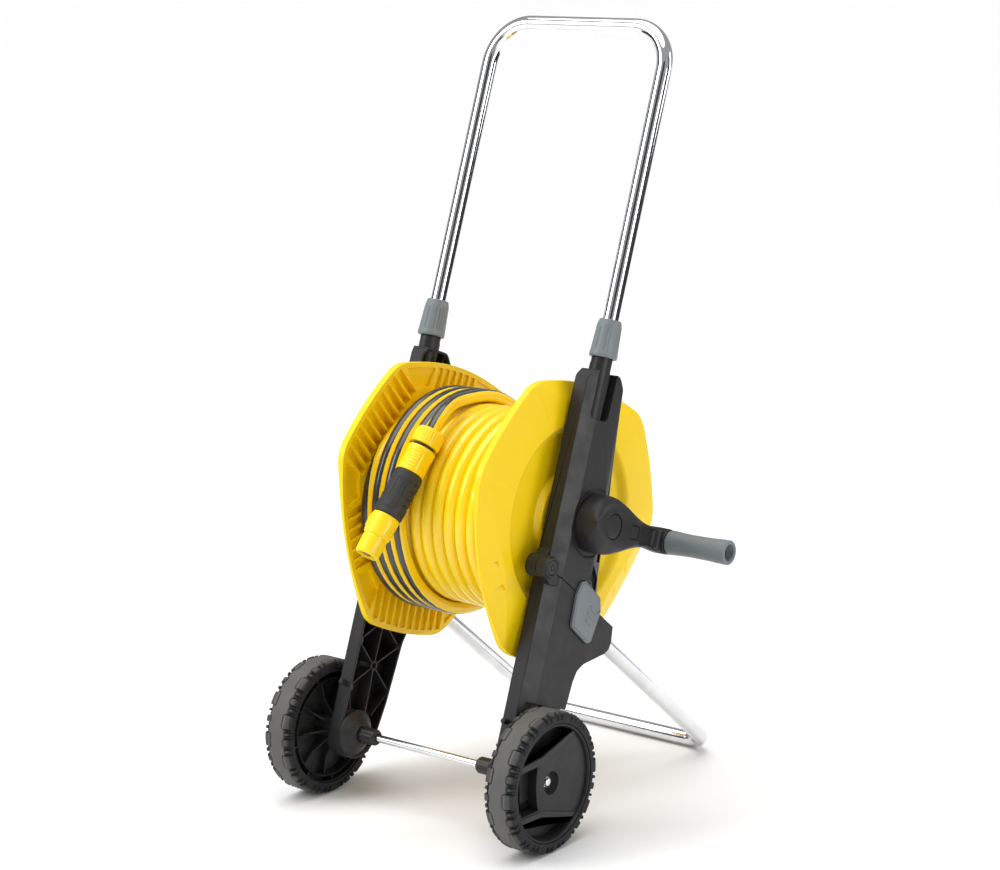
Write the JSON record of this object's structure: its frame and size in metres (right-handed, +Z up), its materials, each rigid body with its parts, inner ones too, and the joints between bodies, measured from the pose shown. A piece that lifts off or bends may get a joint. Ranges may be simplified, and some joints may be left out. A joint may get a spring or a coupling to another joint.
{
  "type": "garden hose reel cart",
  "caption": "Folding garden hose trolley with a cranked reel of wound hose, spray nozzle, telescopic tube handle, wheels and a tube stand.",
  "frame": {"origin": "on the ground, under the middle of the box around the cart without its hose and nozzle", "axes": "+X towards the crank side, +Y to the rear, where the stand is, +Z up"},
  "size_m": [0.44, 0.4748, 0.8941],
  "materials": {
    "black_plastic": "fine moulded grain",
    "yellow_plastic": "satin gloss",
    "grey_plastic": "satin",
    "tyre_rubber": "matt, knobbed tread",
    "grip_rubber": "matt soft touch",
    "chromed_tube": "polished",
    "bright_steel": "bright zinc",
    "hose_skin": "glossy with dark stripes",
    "seal_rubber": "satin"
  },
  "bodies": {
    "lower_frame": {"lower_leg_left": "black_plastic", "lower_leg_right": "black_plastic", "hinge_pin_left": "black_plastic", "hinge_pin_right": "black_plastic", "latch_spring_left": "bright_steel", "latch_spring_right": "bright_steel", "axle_rod": "bright_steel", "axle_dish_left": "black_plastic", "axle_dish_right": "black_plastic", "axle_sleeve_left": "black_plastic", "axle_sleeve_right": "black_plastic", "axle_lock_left": "bright_steel", "axle_lock_right": "bright_steel", "stand_tube": "bright_steel", "stand_screw_left": "bright_steel", "stand_screw_right": "bright_steel"},
    "upper_frame": {"upper_leg_left": "black_plastic", "upper_leg_right": "black_plastic", "reel_bearing_left": "grey_plastic", "reel_bearing_right": "grey_plastic", "clamp_collet_left": "black_plastic", "clamp_collet_right": "black_plastic"},
    "handle": {"handle_tube": "chromed_tube", "handle_end_plug_left": "black_plastic", "handle_end_plug_right": "black_plastic"},
    "collar_left": {"twist_collar_left": "grey_plastic"},
    "collar_right": {"twist_collar_right": "grey_plastic"},
    "button_left": {"latch_button_left": "grey_plastic"},
    "button_right": {"latch_button_right": "grey_plastic"},
    "wheel_left": {"wheel_hub_left": "black_plastic", "tyre_left": "tyre_rubber"},
    "wheel_right": {"wheel_hub_right": "black_plastic", "tyre_right": "tyre_rubber"},
    "reel": {"flange_left": "yellow_plastic", "flange_right": "yellow_plastic", "reel_hub_left": "yellow_plastic", "reel_hub_right": "yellow_plastic", "drum_core": "yellow_plastic", "feed_pipe": "black_plastic", "crank_arm": "black_plastic", "crank_cap": "black_plastic", "crank_lock_tab": "black_plastic", "crank_screw": "bright_steel", "grip_pin": "bright_steel", "hose_winding": "hose_skin", "hose_tail": "hose_skin", "hose_nut": "yellow_plastic", "connector_body": "black_plastic", "nozzle_body": "black_plastic", "nozzle_grip": "grip_rubber", "nozzle_needle": "black_plastic"},
    "grip": {"crank_grip": "grey_plastic"},
    "release_sleeve": {"connector_sleeve": "yellow_plastic"},
    "spray_tip": {"nozzle_tip": "yellow_plastic"},
    "inlet": {"inlet_elbow": "black_plastic", "inlet_nipple": "grey_plastic", "inlet_seal": "seal_rubber"}
  },
  "joints": [
    {"name": "frame_fold", "type": "hinge", "parent": "lower_frame", "child": "upper_frame", "pos_m": [-0.038, -0.10706, 0.3078], "axis": [1, 0, 0], "range_deg": [0, 160]},
    {"name": "handle_slide", "type": "slide", "parent": "upper_frame", "child": "handle", "axis": [0, 0.3518, 0.9361], "range_m": [-0.17, 0]},
    {"name": "collar_left_twist", "type": "hinge", "parent": "upper_frame", "child": "collar_left", "pos_m": [-0.164, 0.01707, 0.54424], "axis": [0, 0.3518, 0.9361], "range_deg": [0, 90]},
    {"name": "collar_right_twist", "type": "hinge", "parent": "upper_frame", "child": "collar_right", "pos_m": [0.088, 0.01707, 0.54424], "axis": [0, 0.3518, 0.9361], "range_deg": [0, 90]},
    {"name": "latch_button_left_press", "type": "slide", "parent": "lower_frame", "child": "button_left", "axis": [1, 0, 0], "range_m": [0, 0.003], "stiffness_N_per_m": 700, "deforming": ["latch_spring_left"]},
    {"name": "latch_button_right_press", "type": "slide", "parent": "lower_frame", "child": "button_right", "axis": [-1, 0, 0], "range_m": [0, 0.003], "stiffness_N_per_m": 700, "deforming": ["latch_spring_right"]},
    {"name": "wheel_left_spin", "type": "hinge", "parent": "lower_frame", "child": "wheel_left", "pos_m": [-0.2, -0.15744, 0.07996], "axis": [1, 0, 0], "continuous": true},
    {"name": "wheel_right_spin", "type": "hinge", "parent": "lower_frame", "child": "wheel_right", "pos_m": [0.124, -0.15744, 0.07996], "axis": [1, 0, 0], "continuous": true},
    {"name": "reel_spin", "type": "hinge", "parent": "upper_frame", "child": "reel", "pos_m": [-0.038, -0.02885, 0.3425], "axis": [1, 0, 0], "continuous": true},
    {"name": "crank_grip_spin", "type": "hinge", "parent": "reel", "child": "grip", "pos_m": [0.162, 0.07131, 0.30485], "axis": [1, 0, 0], "continuous": true},
    {"name": "release_sleeve_pull", "type": "slide", "parent": "reel", "child": "release_sleeve", "axis": [0.0848, 0.6244, 0.7765], "range_m": [0, 0.003], "stiffness_N_per_m": 900},
    {"name": "spray_tip_twist", "type": "hinge", "parent": "reel", "child": "spray_tip", "pos_m": [-0.055, -0.12065, 0.4445], "axis": [-0.0848, -0.6244, -0.7765], "range_deg": [0, 180]},
    {"name": "inlet_swivel", "type": "hinge", "parent": "upper_frame", "child": "inlet", "pos_m": [-0.2, -0.02885, 0.3425], "axis": [1, 0, 0], "continuous": true}
  ]
}
